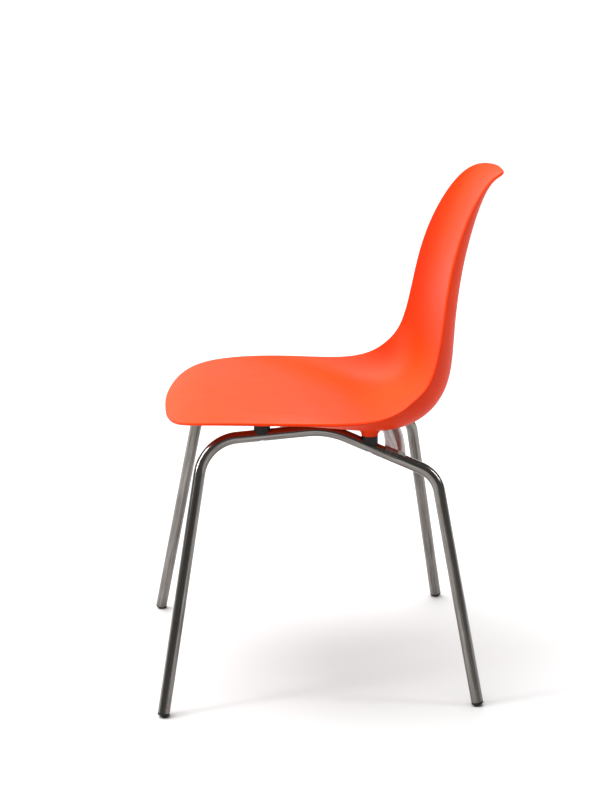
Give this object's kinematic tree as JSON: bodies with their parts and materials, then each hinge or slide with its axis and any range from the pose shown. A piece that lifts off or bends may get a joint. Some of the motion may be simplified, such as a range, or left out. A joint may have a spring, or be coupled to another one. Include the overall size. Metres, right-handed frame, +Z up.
{
  "type": "stacking chair",
  "caption": "Armless stacking chair: one moulded shell for seat and back on splayed legs of bent steel tube, with saddle spacers, cross tubes and foot glides.",
  "frame": {"origin": "on the floor, at the middle of the chair's overall width and depth", "axes": "+Z up; the sitter faces -Y, so the back of the chair is towards +Y; the sitter's left side is +X; the chair is mirror-symmetric about X = 0"},
  "size_m": [0.5178, 0.5976, 0.8602],
  "materials": {
    "shell_plastic": "moulded orange-red plastic with a fine satin surface",
    "frame_steel": "bare drawn steel tube, satin, with light drawing lines",
    "spacer_plastic": "black moulded elastomer",
    "fastener_steel": "zinc plated",
    "insert_brass": "plain",
    "glide_plastic": "black moulded, slightly worn on the sole"
  },
  "bodies": {
    "root": {"seat_shell": "shell_plastic", "side_tube_left": "frame_steel", "side_tube_right": "frame_steel", "front_cross_tube": "frame_steel", "rear_cross_tube": "frame_steel", "rear_cross_plate": "frame_steel", "spacer_front_left": "spacer_plastic", "spacer_front_right": "spacer_plastic", "spacer_rear_left": "spacer_plastic", "spacer_rear_right": "spacer_plastic", "screw_front_left": "fastener_steel", "screw_front_right": "fastener_steel", "screw_rear_left": "fastener_steel", "screw_rear_right": "fastener_steel", "washer_front_left": "fastener_steel", "washer_front_right": "fastener_steel", "washer_rear_left": "fastener_steel", "washer_rear_right": "fastener_steel", "insert_front_left": "insert_brass", "insert_front_right": "insert_brass", "insert_rear_left": "insert_brass", "insert_rear_right": "insert_brass", "glide_front_left": "glide_plastic", "glide_front_right": "glide_plastic", "glide_rear_left": "glide_plastic", "glide_rear_right": "glide_plastic"}
  },
  "joints": []
}
